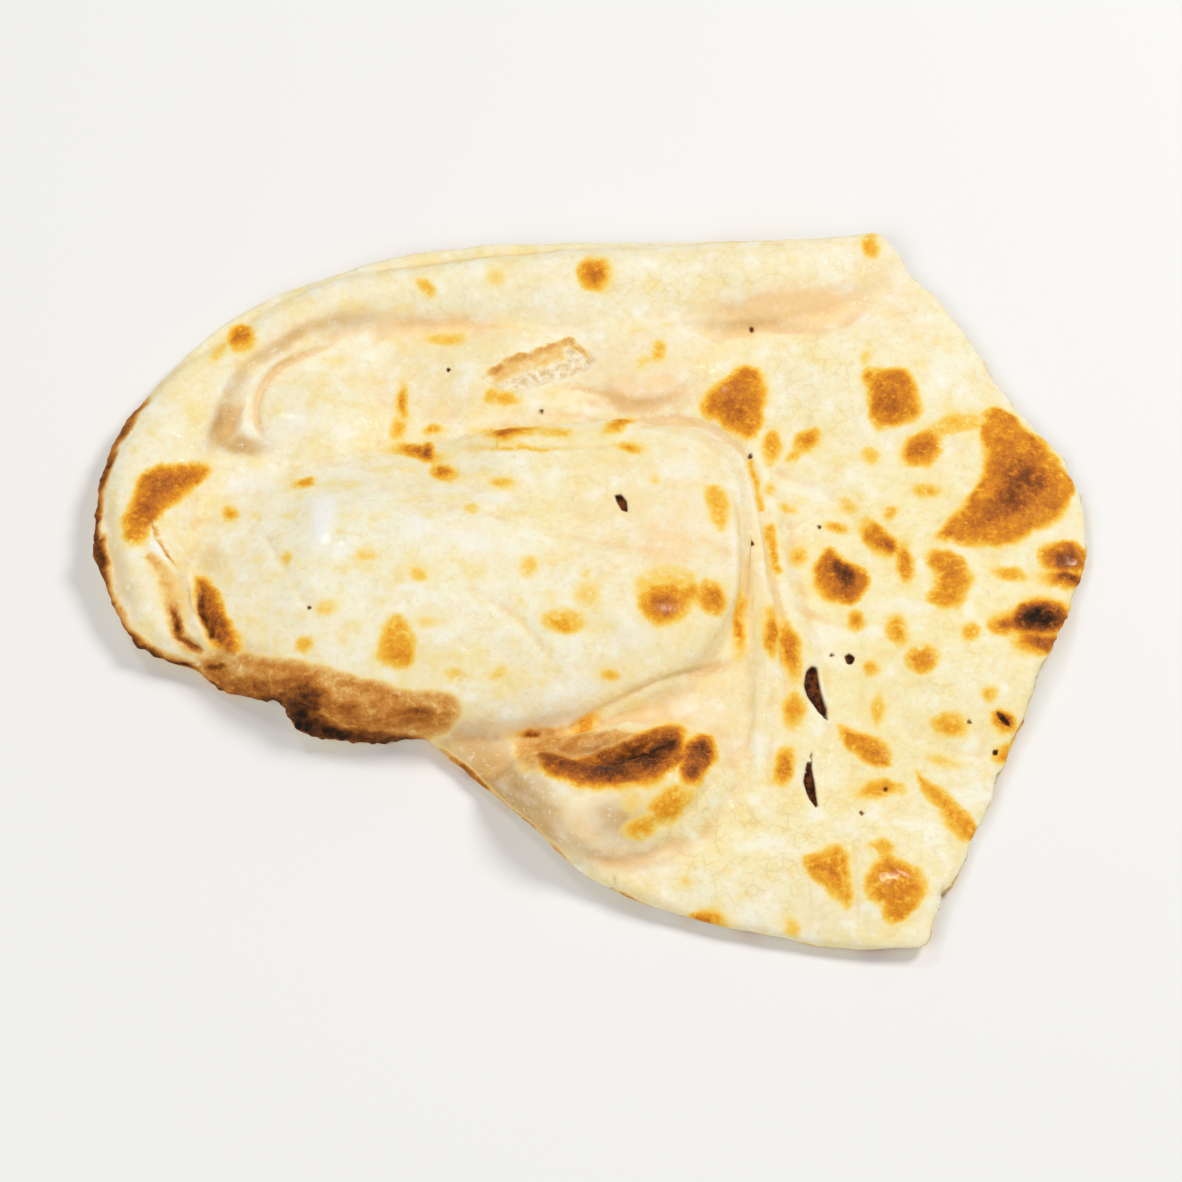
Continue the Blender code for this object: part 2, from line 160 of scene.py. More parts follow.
# Slits torn through the skin: depth in mm, outline in pixels
SLITS = [
    (1.5, [(477.6, 668), (480.6, 669), (482, 679), (485, 688), (485, 693), (480, 688), (475.5, 682),
           (474, 677), (475, 671)]),
    (1.3, [(478, 706), (477.4, 714), (479, 722), (480, 733), (475.6, 727), (473.4, 720),
           (475, 712)]),
    (0.8, [(388.4, 590.6), (391.4, 590), (394, 593.6), (394.4, 598.6), (391.6, 597.6),
           (389.4, 594)]),
    (0.9, [(492.6, 664), (495, 662.6), (497.4, 664.4), (496.8, 667.6), (493.6, 667.6)]),
    (0.9, [(561, 688.5), (564, 690), (568.6, 696.6), (564.6, 695), (562, 692)]),
    (0.5, [(558.8, 706), (562, 706), (561.4, 708.6), (559.4, 708.6)]),
]
SLIT_MARGIN = 3
PINHOLE_RADIUS = 1.1
PINHOLE_DEPTH, DIMPLE_RADIUS = 0.4, 2.0  # mm, pixels
HOLE_REACH = 4.0  # how far out from a hole its distance is measured
PINHOLES = [(487, 663.6), (452, 513.4), (451, 572), (451.5, 613.5), (482, 605), (250, 642),
            (499.5, 734), (354.8, 552), (549, 693.6), (312, 532.4), (510.5, 724)]

# The flake: a strip of skin torn off the crumb, as its outline in pixels
FLAKE = [(328, 535), (338, 529), (354, 523), (367, 519), (373, 522), (380, 528), (376, 533),
         (362, 538), (350, 541), (341, 545), (332, 542)]
FLAKE_DEPTH, FLAKE_MARGIN = 0.9, 4  # mm, pixels

# How toast marks are drawn, in pixels and in shares of their darkness
MARK_MARGIN = 8  # how far round a mark its points are looked at
SOFTEST_EDGE = 7.0
EDGE_TONE, PATCH_EDGE_TONE = 0.68, 0.8  # how dark a mark is just inside its edge
HALO_TONE, HALO_REACH, HALO_FADE = 0.26, 6.5, 8.0  # the gold skin round a mark
BLISTER_RISE = 0.5  # mm that toasted skin stands up, unless it is char

# Toast marks as ellipses in pixels: x, y, half length, half width, turn in degrees, darkness
SPOTS = [
    (310, 518, 12, 4, 0, 0.26), (343, 512, 10, 3, 0, 0.1), (215.5, 518, 7, 7, 0, 0.5),
    (206, 525, 9, 4, -40, 0.2), (246, 585.5, 6.6, 3, -12, 0.42), (212.8, 599.6, 3.8, 4, 0, 0.4),
    (239, 619.5, 3.4, 4, 0, 0.24), (275, 618.6, 8.4, 4, 0, 0.2), (258, 642.5, 6.8, 4.4, 0, 0.2),
    (248.4, 659, 4.6, 4.4, 0, 0.34), (379, 488, 8.4, 8.4, 20, 0.54), (302, 494, 5.6, 4, 20, 0.3),
    (334, 489, 6, 6, 0, 0.16), (291, 547, 2.8, 8.4, 0, 0.48), (288, 560, 4, 7, 10, 0.36),
    (298, 572, 10, 3.6, 6, 0.58), (303, 572, 3.4, 4.6, 0, 0.7), (310.5, 579.5, 7, 4, 12, 0.54),
    (304, 561, 5, 2.4, 0, 0.4), (331.5, 545, 3, 3.8, 0, 0.38), (338, 546.5, 8.4, 4, 0, 0.34),
    (341, 562, 13, 2.8, -3, 0.54), (360, 561.5, 11, 2.6, 0, 0.26), (347, 568.5, 26, 1.8, 0, 0.3),
    (337.5, 586, 8, 4, 8, 0.26), (323, 597, 5, 2.4, 0, 0.2), (391, 558.5, 8, 3.2, -25, 0.42),
    (395, 568.5, 8, 2.8, 10, 0.4), (349, 623.5, 5.4, 7.4, 0, 0.2), (300.5, 627, 5.4, 4.4, 0, 0.24),
    (365.5, 647.5, 10.6, 6.4, 0, 0.32), (365.5, 650, 6, 3, 0, 0.36),
    (375.5, 626.6, 2.8, 3.2, 0, 0.2), (376.5, 636, 8, 8, 0, 0.18),
    (410.5, 640, 12.6, 9.4, 0, 0.56), (411, 638, 6, 5, 0, 0.64), (412, 634, 16, 12, 0, 0.24),
    (432.8, 638, 6.4, 8.8, 0, 0.48), (422, 636, 8, 5, 0, 0.4), (318, 673, 8.4, 3.8, 6, 0.24),
    (335, 672, 8, 3.8, -25, 0.2), (385.6, 672, 5, 4, 0, 0.28), (359.4, 661, 5, 4, 0, 0.1),
    (355, 676, 4, 3, 0, 0.16), (304, 649, 9, 4, 0, 0.18), (406, 584, 4, 3.4, 0, 0.2),
    (408.4, 524.6, 4.4, 5, 0, 0.28), (401, 530, 8, 3.4, -20, 0.2), (508, 474, 4.6, 6.4, 10, 0.33),
    (358.5, 596, 4, 5, 0, 0.12), (460, 569, 4.6, 8.6, 8, 0.4), (477.5, 565.5, 8, 5.4, -40, 0.44),
    (471, 573, 5.4, 3.6, -45, 0.38), (504, 527, 3, 6, 0, 0.22), (530, 569, 11, 8, -45, 0.58),
    (505, 573, 6.4, 5, -20, 0.22), (546, 558, 16, 6, -12, 0.28), (531, 588.5, 7.4, 4, 0, 0.32),
    (514.5, 598.5, 3.8, 4.4, 0, 0.36), (495.7, 596, 7.4, 3.8, 32, 0.26),
    (460, 588, 3.4, 3.6, 0, 0.24), (468, 597, 6, 2.6, 20, 0.22), (509, 611, 9.6, 5.6, 42, 0.58),
    (513, 615, 4.6, 4, 42, 0.66), (521, 623.5, 4, 8.8, -10, 0.54),
    (490.5, 606, 6.4, 3.2, 15, 0.38), (473, 619, 4.4, 5.6, 0, 0.34), (594, 619.5, 12, 8, 0, 0.7),
    (595, 629, 10, 4, 5, 0.74), (581.5, 647, 14, 8.4, -12, 0.94), (568, 650, 9, 5.4, 0, 0.62),
    (583, 658, 13, 5.4, 0, 0.66), (568, 627, 9, 4, 15, 0.36), (550.5, 652.5, 4.4, 5, 0, 0.4),
    (516.5, 652.5, 5, 7.4, 0, 0.42), (528.2, 665, 8.4, 6.4, 5, 0.46), (498, 648.2, 5, 5.8, 0, 0.4),
    (504.6, 671, 4.4, 4.4, 0, 0.34), (508, 688, 3.6, 8.6, 5, 0.32), (558.6, 681, 5, 4, 0, 0.34),
    (539.2, 695.5, 9, 6.4, 0, 0.36), (564, 693, 6, 4, 40, 0.74), (566, 708, 8, 5, -20, 0.42),
    (536, 711, 10, 3.6, 12, 0.22), (507.5, 724.5, 11, 4.2, 0, 0.5), (469.6, 689, 6, 8.8, 0, 0.38),
    (445.5, 650, 3.4, 17, 2, 0.48), (459.4, 653, 3.4, 12, 0, 0.44),
    (467.5, 662, 4.4, 15, -10, 0.52), (465, 714, 4.8, 10, 20, 0.5), (430, 782, 9, 5, 10, 0.48),
    (375, 695, 8, 3.4, -28, 0.34), (350, 699.5, 5, 1.6, 5, 0.7), (419, 765, 5, 4, 0, 0.16),
    (467.5, 785, 5.4, 5, 0, 0.2), (412, 731, 13, 7, -40, 0.42), (396, 729, 8, 5, 0, 0.18),
    (400, 740, 10, 6, -20, 0.32), (421, 729, 4, 10, 40, 0.24),
]

# Toast marks with corners, as outlines in pixels, and their darkness
PATCHES = [
    (0.59, [(165, 612), (164.6, 602), (166.4, 592), (171, 582), (178, 577.6), (188, 576.2),
            (200, 576.4), (203, 580), (200, 584.6), (192, 590.6), (184.6, 596), (179, 603),
            (174, 611.6), (168, 612)]),
    (0.38, [(281, 668), (281, 656), (285, 648), (293, 645), (298, 655), (299, 668), (290, 671)]),
    (0.58, [(425, 553), (436, 541), (447, 531), (457, 532), (457.5, 549), (453, 568), (444, 560)]),
    (0.56, [(503, 532), (515, 533), (525, 533), (529, 547), (528, 556), (517, 559), (506, 559),
            (505, 545)]),
    (0.6, [(557, 567), (556, 555), (564, 549), (572, 554), (577, 561), (587, 567), (596, 577),
           (601, 587), (595, 597), (587, 605), (576, 611), (562, 614), (547, 613), (533, 611),
           (540, 603), (551, 594), (557, 581)]),
    (0.74, [(563, 579), (574, 571), (586, 576), (591, 586), (584, 595), (575, 601), (563, 607),
            (551, 607), (555, 597), (561, 588)]),
    (0.63, [(484, 617), (488, 614), (492, 619), (497, 620), (502, 623), (505, 631), (499, 641),
            (488, 640), (480, 635), (479, 624)]),
    (0.84, [(485, 621), (491, 618), (497, 622), (500, 630), (496, 637), (486, 635)]),
    (0.48, [(527, 619), (538, 615), (548, 620), (552, 632), (548, 641), (538, 643), (529, 639),
            (536, 630)]),
    (0.5, [(487, 697), (493, 696), (503, 700), (511, 703), (514, 711), (511, 716), (502, 713),
           (494, 705)]),
    (0.44, [(522, 714), (530, 721), (539, 725), (547, 734), (554, 744), (551, 750), (541, 744),
            (535, 737), (529, 728)]),
    (0.5, [(473.6, 754), (479, 749.6), (492, 750), (494, 764), (494, 777), (488, 773), (482, 769),
           (475, 763)]),
    (0.49, [(499, 763), (505, 756), (512, 753), (521, 756), (527, 762), (527, 772), (521, 780),
            (514, 785), (508, 782), (507, 775), (500, 771)]),
    (0.66, [(196, 627), (203, 628), (208, 638), (213, 647), (221, 658), (215, 665), (206, 660),
            (199, 645)]),
    (0.34, [(501, 749), (507, 746), (513, 748), (514, 755), (506, 756)]),
    (0.3, [(428, 586), (439, 585), (442, 597), (439, 608), (433, 607), (429, 596)]),
    # the dark blister on the lower bulge
    (0.76, [(352, 708), (360, 706), (372, 708), (382, 705), (390, 701.5), (398, 699),
            (406, 697), (413, 695.5), (419, 697), (421, 706), (416, 714), (405, 721),
            (390, 723.5), (372, 722), (359, 718), (353, 713)]),
    (0.86, [(366, 712), (376, 712), (385, 709), (392, 706), (400, 703.5), (407, 700), (414, 698),
            (419, 701), (418, 708), (411, 714), (400, 718), (386, 720), (373, 719)]),
    (0.93, [(380, 712.5), (390, 709), (399, 705.5), (406, 702.5), (412, 701.5), (415, 704),
            (412, 709), (404, 712), (394, 714.5), (384, 716)]),
    (0.75, [(418, 706), (423, 701), (428, 700), (432, 701.5), (433.5, 709), (429, 719), (423, 723),
            (417, 717)]),
]

# Browned lines: darkness, half width and path, in pixels
BROWNED_LINES = [
    (0.3, 1.3, [(452, 575), (455, 586), (457, 596)]),
    (0.38, 1.7, [(459, 604), (461, 614), (462, 625)]),
]

# Folds of paler skin across the marks: share of the darkness they lose, half width and path
PALE_FOLDS = [
    (0.5, 2.6, [(352, 705), (364, 707.6), (377, 706.6), (389, 702), (399, 697)]),
    (0.5, 1.6, [(499, 772), (506, 766), (514, 764), (522, 768)]),
    (0.3, 1.4, [(489, 751), (490, 762), (491, 774)]),
]

# Scorched skin, duller than a toast mark. Outlines in pixels, with their darkness
SCORCH_EDGE = 8.0
SCORCHES = [
    (0.4, [(196, 665), (206, 661.5), (220, 662), (232, 664), (244, 667), (258, 669), (268, 671.5),
           (278, 675), (292, 679), (312, 680), (319, 685), (318, 694), (310, 700), (292, 705),
           (275, 707), (255, 709), (240, 704), (226, 690), (212, 685), (203, 680)]),
    (0.52, [(256, 682), (270, 682), (286, 685), (304, 685), (308, 691), (300, 698), (284, 700),
            (264, 698), (256, 692)]),
    (0.6, [(202, 670), (212, 672), (222, 671), (232, 672), (244, 671), (256, 674), (263, 682),
           (260, 692), (244, 694), (236, 692), (226, 689), (212, 684)]),
    (0.78, [(224, 679), (234, 680), (243, 674), (254, 676), (258, 686), (256, 693), (244, 694),
            (236, 691), (228, 687)]),
    (0.88, [(237, 689), (246, 686), (256, 689), (264, 694), (272, 699), (268, 708), (252, 711),
            (237, 704)]),
    (0.76, [(258, 695), (270, 695), (284, 698), (297, 698), (292, 706), (270, 708)]),
    (0.6, [(280, 689), (294, 686), (312, 684), (304, 692), (284, 694)]),
    # beside the dark blister
    (0.34, [(343, 701), (350, 697), (360, 697), (370, 698), (382, 698), (400, 696), (396, 701),
            (384, 707), (370, 709), (358, 711), (350, 716), (344, 712)]),
    (0.2, [(181, 622), (188, 628), (193, 637), (195, 650), (190, 652), (185, 642), (180, 630)]),
]
# and lines: darkness, half width and path
SCORCHED_LINES = [
    (0.2, 4.6, [(330, 537), (342, 532), (356, 526), (367, 523)]),
    (0.31, 1.7, [(328, 535), (338, 530), (354, 523.5), (367, 519.5), (373, 522), (379, 527)]),
    (0.22, 3.4, [(175, 616), (180, 623), (187, 631)]),
    (0.24, 5.0, [(186, 636), (189, 646), (190, 653), (200, 663)]),
    (0.66, 2.4, [(187, 639), (189.6, 648), (190.5, 654), (195, 657), (202, 663)]),
    (0.76, 2.0, [(198.6, 632), (200.5, 641), (203, 648), (207, 657)]),
    (0.64, 2.0, [(202, 670), (206, 669), (211, 667)]),
    (0.34, 1.4, [(176, 600), (181, 612), (190, 626)]),
]

# The browned rim, darkness and width in pixels, along the outline that the photograph shows; along
# the lower outline its dark line is partly painted shade
RIM_BROWNING_AND_SHADE = [
    (0.6, 2.2, [(177, 543.5), (170, 551), (163, 560), (158.5, 569.5), (156, 579), (153.5, 590)]),
    (0.74, 2.0, [(159, 568), (156, 579), (153, 592), (151, 604.5), (152, 615.5), (154.5, 628)]),
    (0.76, 4.0, [(151, 606), (152, 615.5), (154.5, 628), (158.5, 639), (163, 649), (168, 656)]),
    (0.88, 4.0, [(158.5, 639), (163, 649), (168, 656), (174, 662), (184, 667), (194, 669),
                 (200, 672)]),
    (0.8, 3.4, [(190, 669), (198, 672), (206, 680), (218, 685), (228, 688), (238, 691)]),
    (0.94, 4.4, [(228, 687), (237, 690), (241, 696), (239, 701), (247, 705), (257, 706),
                 (268, 704.5), (282, 705), (296, 703), (308, 699)]),
    # the lower outline's dark line: partly browning, partly painted shade where the skin turns
    # under
    (0.54, 1.5, [(303, 701), (317, 711.5), (328, 721.5), (338, 731), (347, 737), (357, 747),
                 (368, 759), (381, 768)]),
    (0.5, 2.0, [(368, 759), (381, 768), (395, 773), (412, 781.5), (430, 786.5), (455, 790),
                (480, 796), (503, 801)]),
]

# The line where the other half was torn away, in pixels
TEAR = [(528, 798), (555, 742), (566, 712), (588, 668), (601, 640), (609, 612), (601, 588),
        (585, 567), (569, 548), (542, 510), (526, 494), (511, 467)]
TEAR_HEIGHT = 3.0  # mm above the table at which that line lies
TEAR_REACH, TEAR_FADE = 7.0, 2.5  # mm from the line that the raw edge reaches and fades over
RAW_DEPTH = 0.8  # mm that the raw edge falls back between the skins

# Painted shade in hollows and painted light on ridges, found by comparing the skin with a smoothed
# copy
HOLLOW_ROUNDS, SMOOTHING = 14, 0.6
SHADE_FULL_DEPTH = 0.5  # mm below the smoothed skin at which the painted shade in hollows is darkest

# Where the dough differs in colour, painted shade and sheen included: x, y, half length, half
# width, turn in degrees, amount.
# Peach painted shade in shallow hollows and on slopes, partly the dough's own warmer tone
PEACH_SHADE_ZONES = [
    (234, 521, 24, 8, -32, 0.6), (262, 510, 20, 8, -8, 0.5), (307, 513, 36, 8, 3, 0.85),
    (372, 536, 14, 6, -20, 0.5), (395, 528, 34, 12, -5, 0.5), (470, 503, 46, 12, -6, 1.0),
    (404, 542, 28, 11, -5, 0.9), (515, 495, 12, 30, -35, 0.5), (437, 610, 7, 40, -8, 0.4),
    (452, 640, 12, 60, 0, 0.3), (464, 690, 6, 60, 0, 0.25), (430, 690, 22, 24, 0, 0.4),
    (380, 745, 40, 14, 20, 0.7), (400, 775, 60, 6, 15, 0.4), (300, 545, 26, 18, 0, 0.3),
    (404, 604, 40, 34, 0, 0.35), (412, 613, 18, 18, 0, 0.75), (330, 700, 50, 7, 5, 0.5),
    (420, 690, 30, 10, -20, 0.4), (160, 640, 8, 36, -12, 0.2), (500, 500, 8, 22, -30, 0.4),
    (437, 566, 18, 5, 20, 0.4), (395, 735, 26, 14, 10, 0.6), (182, 625, 8, 7, 40, 0.7),
]
# Painted shade in deep hollows and on the shaded lower flank
SHADE_ZONES = [
    (209, 558, 7, 13, 14, 1.0), (217, 567, 16, 5, 8, 0.9), (214, 540, 5, 12, 20, 0.55),
    (233, 522, 22, 4, -32, 0.55), (262, 511, 20, 4, -8, 0.3), (402, 548, 20, 4, -4, 0.45),
    (450, 512, 36, 3, 0, 0.3), (336, 721, 36, 17, 40, 1.0), (348, 733, 28, 9, 42, 0.9),
    (366, 745, 24, 5, 34, 0.4), (349, 713, 9, 11, 0, 0.8), (388, 757, 26, 3, 2, 0.4),
    (392, 737, 14, 12, 0, 0.9), (192, 640, 5, 16, -18, 0.5), (198, 660, 8, 5, 30, 0.5),
    (204, 620, 8, 7, 40, 0.3), (216, 661, 18, 5, 4, 0.5), (162, 626, 7, 26, -12, 0.3),
    (310, 700, 16, 4, 10, 0.5), (380, 722, 28, 4, 0, 0.3), (440, 668, 12, 3, -20, 0.3),
]
# A deeper yellow
YELLOW_ZONES = [
    (520, 640, 75, 80, 0, 0.7), (490, 730, 60, 50, 0, 0.5), (510, 530, 50, 40, 0, 0.35),
    (370, 600, 50, 26, 8, 0.35), (440, 750, 50, 26, 8, 0.45), (370, 545, 40, 14, 0, 0.3),
]
# Paler and cooler
IVORY_ZONES = [
    (262, 612, 42, 44, 0, 0.9), (255, 548, 26, 22, 0, 0.6), (320, 640, 60, 30, 0, 0.4),
    (430, 490, 60, 12, 0, 0.3), (322, 501, 34, 7, 0, 0.7), (345, 658, 34, 11, 0, 0.7),
    (172, 570, 12, 30, 20, 0.5), (330, 580, 50, 10, 0, 0.35), (545, 535, 20, 30, -30, 0.3),
]
# Wet with butter, so glossier, and whiter with a painted sheen
WET_AND_SHEEN_ZONES = [
    (256, 603, 6, 14, 8, 1.0), (266, 616, 8, 4, 0, 0.5), (181, 615, 9, 3.4, 48, 0.9),
    (299, 606, 7, 5, 0, 0.6), (336, 591.4, 7, 2.4, 0, 0.7), (296, 634, 7, 2, 0, 0.6),
    (238, 560, 14, 7, -30, 0.5), (222, 585, 16, 6, -10, 0.5), (330, 612, 26, 5, 12, 0.5),
    (290, 655, 3, 3, 0, 0.8), (386, 714, 14, 3, -14, 0.9), (382, 703, 12, 3, -30, 0.9),
    (396, 655, 10, 7, 0, 0.4), (512, 763, 10, 2.6, -8, 0.9), (595, 622, 6, 3, 0, 0.8),
    (420, 578, 10, 6, 0, 0.4), (478, 588, 12, 5, 10, 0.5), (545, 620, 5, 18, 0, 0.4),
    (520, 642, 16, 4, 0, 0.5), (485, 655, 10, 6, 0, 0.5), (540, 530, 10, 8, 0, 0.3),
    (444, 544, 8, 6, -30, 0.6), (410, 643, 8, 3, 0, 0.5), (528, 664, 5, 2.4, 0, 0.6),
    (508, 707, 6, 2.4, 35, 0.5),
]
# Crazed with fine cracks
CRAZED_ZONES = [
    (440, 745, 60, 40, 10, 1.0), (500, 735, 50, 40, 0, 0.8), (540, 680, 40, 40, 0, 0.6),
    (490, 545, 50, 30, 0, 0.8), (420, 490, 90, 14, 0, 0.7), (520, 600, 60, 40, 0, 0.5),
    (400, 625, 40, 24, 0, 0.5), (350, 590, 60, 20, 0, 0.4), (310, 530, 40, 20, 0, 0.4),
]

ZONES = {"peach_shade": PEACH_SHADE_ZONES, "painted_shade": SHADE_ZONES, "yellow": YELLOW_ZONES, "ivory": IVORY_ZONES,
         "wet_and_sheen": WET_AND_SHEEN_ZONES, "crazed": CRAZED_ZONES}

FLOOR_COLOUR, FLOOR_ROUGHNESS = (0.9, 0.9, 0.895, 1.0), 0.9
FLOOR_HALF, FLOOR_LEVEL = 4.0, -0.0002  # metres
WORLD_COLOUR, WORLD_STRENGTH = (1.0, 0.99, 0.97, 1.0), 0.34

# Lights: name, place and size in metres, power and colour
LIGHTS = [
    ("key_light", (0.7, 0.4, 0.95), 0.45, 7.7, (1.0, 0.985, 0.95)),
    ("fill_light", (-0.6, -0.7, 0.9), 1.0, 5.8, (1.0, 1.0, 1.0)),
    ("back_light", (-0.55, 0.68, 1.0), 0.26, 1.9, (1.0, 1.0, 1.0)),
]


def smooth_step(value):
    t = np.clip(value, 0.0, 1.0)
    return t * t * (3.0 - 2.0 * t)


def waves(points, wavelength, seed):
    """Smooth noise from -1 to 1 at each point, in the units of the points."""
    shift = Vector((13.7 * seed, 7.9 * seed, 3.1 * seed))
    return np.array([noise.noise(Vector(p) / wavelength + shift) for p in points])


def layered(points, layers):
    """The layers' noise at each point, added up."""
    return sum(amount * waves(points, wavelength, seed) for amount, wavelength, seed in layers)


def raise_rows(amounts, rows, values):
    """Put each value in its row of the amounts where it is the larger."""
    amounts[rows] = np.maximum(amounts[rows], values)


# The mesh -----------------------------------------------------------------------------------


def subdivided_bread():
    """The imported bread's mesh, closed, subdivided and smooth."""
    builder = bmesh.new()
    builder.from_mesh(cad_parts[NODE].data)
    bmesh.ops.remove_doubles(builder, verts=builder.verts, dist=MERGE_DISTANCE)
    bmesh.ops.recalc_face_normals(builder, faces=builder.faces)
    coarse = bpy.data.meshes.new("bread")
    builder.to_mesh(coarse)
    builder.free()
    rough = bpy.data.objects.new("bread", coarse)
    bpy.context.scene.collection.objects.link(rough)
    rough.modifiers.new("finer", "SUBSURF").levels = SUBDIVISIONS
    evaluated = rough.evaluated_get(bpy.context.evaluated_depsgraph_get())
    fine = bpy.data.meshes.new_from_object(evaluated)
    bpy.data.objects.remove(rough)
    for layer in list(fine.uv_layers):
        fine.uv_layers.remove(layer)
    fine.shade_smooth()
    return fine


def positions(mesh):
    """The vertices' places, in mm."""
    flat = np.empty(len(mesh.vertices) * 3)
    mesh.vertices.foreach_get("co", flat)
    return flat.reshape(-1, 3) / MM


def normals(mesh):
    flat = np.empty(len(mesh.vertices) * 3)
    mesh.vertex_normals.foreach_get("vector", flat)
    return flat.reshape(-1, 3)


def edge_ends(mesh):
    flat = np.empty(len(mesh.edges) * 2, dtype=int)
    mesh.edges.foreach_get("vertices", flat)
    return flat.reshape(-1, 2)


def relaxed(values, ends, rounds):
    """Each vertex's value averaged with its neighbours' again and again."""
    a, b = ends.T
    count = len(values)
    degree = np.bincount(a, minlength=count) + np.bincount(b, minlength=count)
    for _ in range(rounds):
        total = np.bincount(a, values[b], count) + np.bincount(b, values[a], count)
        values = (1.0 - SMOOTHING) * values + SMOOTHING * total / degree
    return values


def set_mesh(mesh, points):
    mesh.vertices.foreach_set("co", (points * MM).ravel())
    mesh.update()


def keep(mesh, name, values):
    """Store a value for each vertex, for the material to read."""
    attribute = mesh.attributes.new(name, "FLOAT", "POINT")
    attribute.data.foreach_set("value", values.astype(np.float32))


# Where the photograph shows things ----------------------------------------------------------


def photo_pixels(points):
    """The photograph's pixel for each point of the bread, in mm."""
    up = points[:, 1] * math.sin(VIEW_ELEVATION) + points[:, 2] * math.cos(VIEW_ELEVATION)
    return np.column_stack([
        PHOTO_CENTRE[0] + points[:, 0] / MM_PER_PIXEL, PHOTO_CENTRE[1] - up / MM_PER_PIXEL
    ])


def plan(pixels, height):
    """The plan points, in mm, that the pixels show at a height above the table."""
    away = (np.array(pixels, float) - PHOTO_CENTRE) * MM_PER_PIXEL
    y = (-away[:, 1] - height * math.cos(VIEW_ELEVATION)) / math.sin(VIEW_ELEVATION)
    return np.column_stack([away[:, 0], y])


def curve_through(stations, steps=6):
    """A smooth line through the stations."""
    knots = np.array(stations, float)
    knots = np.vstack([2 * knots[0] - knots[1], knots, 2 * knots[-1] - knots[-2]])
    fine = []
    for a, b, c, d in zip(knots, knots[1:], knots[2:], knots[3:]):
        for t in np.linspace(0.0, 1.0, steps, endpoint=False):
            fine.append(0.5 * (2 * b + (c - a) * t + (2 * a - 5 * b + 4 * c - d) * t**2
                               + (3 * b - a - 3 * c + d) * t**3))
    return np.array(fine + [knots[-2]])


def line_distance(places, path, closed=False):
    """Distance to a line, the share of its length at the nearest point, and which side of it."""
    path = np.array(path, float)
    starts = path if closed else path[:-1]
    ends = np.roll(path, -1, axis=0) if closed else path[1:]
    best = np.full(len(places), 1e9)
    share, side = np.zeros(len(places)), np.zeros(len(places))
    for i, (a, b) in enumerate(zip(starts, ends)):
        leg = b - a
        t = np.clip((places - a) @ leg / max(leg @ leg, 1e-9), 0.0, 1.0)
        gap = np.linalg.norm(places - a - t[:, None] * leg, axis=1)
        closer = gap < best
        best[closer] = gap[closer]
        share[closer] = (i + t[closer]) / len(starts)
        across = leg[0] * (places[closer, 1] - a[1]) - leg[1] * (places[closer, 0] - a[0])
        side[closer] = np.sign(across)
    return best, share, side


def inside(pixels, ring):
    """Which pixels lie inside a closed outline, by counting crossings."""
    within = np.zeros(len(pixels), bool)
    x, y = pixels.T
    for (ax, ay), (bx, by) in zip(ring, ring[1:] + ring[:1]):
        if ay != by:
            within ^= ((ay > y) != (by > y)) & (x < (bx - ax) * (y - ay) / (by - ay) + ax)
    return within


def rounded(ring):
    """A closed outline with each corner cut once."""
    ring = np.array(ring, float)
    after = np.roll(ring, -1, axis=0)
    pairs = np.stack([0.75 * ring + 0.25 * after, 0.25 * ring + 0.75 * after], axis=1)
    return pairs.reshape(-1, 2).tolist()


def depth_in_patch(pixels, ring):
    """How far inside a closed outline each pixel lies, and less than 0 outside."""
    gap, _, _ = line_distance(pixels, ring, closed=True)
    return np.where(inside(pixels, ring), gap, -gap)


def spot_radius(pixels, x, y, length, width, turn):
    """Distance from a spot's middle, 1 on its edge."""
    angle = math.radians(turn)
    away = pixels - (x, y)
    u = (away[:, 0] * math.cos(angle) + away[:, 1] * math.sin(angle)) / length
    v = (away[:, 1] * math.cos(angle) - away[:, 0] * math.sin(angle)) / width
    return np.hypot(u, v)


def near(pixels, path, margin):
    """The rows of the pixels within the box of a path grown by a margin."""
    path = np.array(path, float).reshape(-1, 2)
    low, high = path.min(axis=0) - margin, path.max(axis=0) + margin
    return np.flatnonzero(((pixels > low) & (pixels < high)).all(axis=1))


def end_fade(share, reach, start=0.0):
    """1 along a line, fading towards both its ends over a share of its length."""
    return smooth_step(np.minimum(share, 1.0 - share) / reach + start)


def line_profile(pixels, half_width, path):
    """1 on a line and 0 past its half width, fading out towards both ends."""
    height = np.zeros(len(pixels))
    rows = near(pixels, path, half_width + 1)
    gap, share, _ = line_distance(pixels[rows], curve_through(path))
    bell = np.cos(0.5 * math.pi * np.clip(gap / half_width, 0.0, 1.0)) ** 2
    height[rows] = end_fade(share, 0.2, 0.15) * bell
    return height


def zones(pixels, blobs):
    """The blobs' amounts, each fading out softly over its whole reach."""
    total = np.zeros(len(pixels))
    for *shape, amount in blobs:
        total = np.maximum(total, amount * smooth_step(1.35 - spot_radius(pixels, *shape)))
    return total


# Relief and marks ---------------------------------------------------------------------------


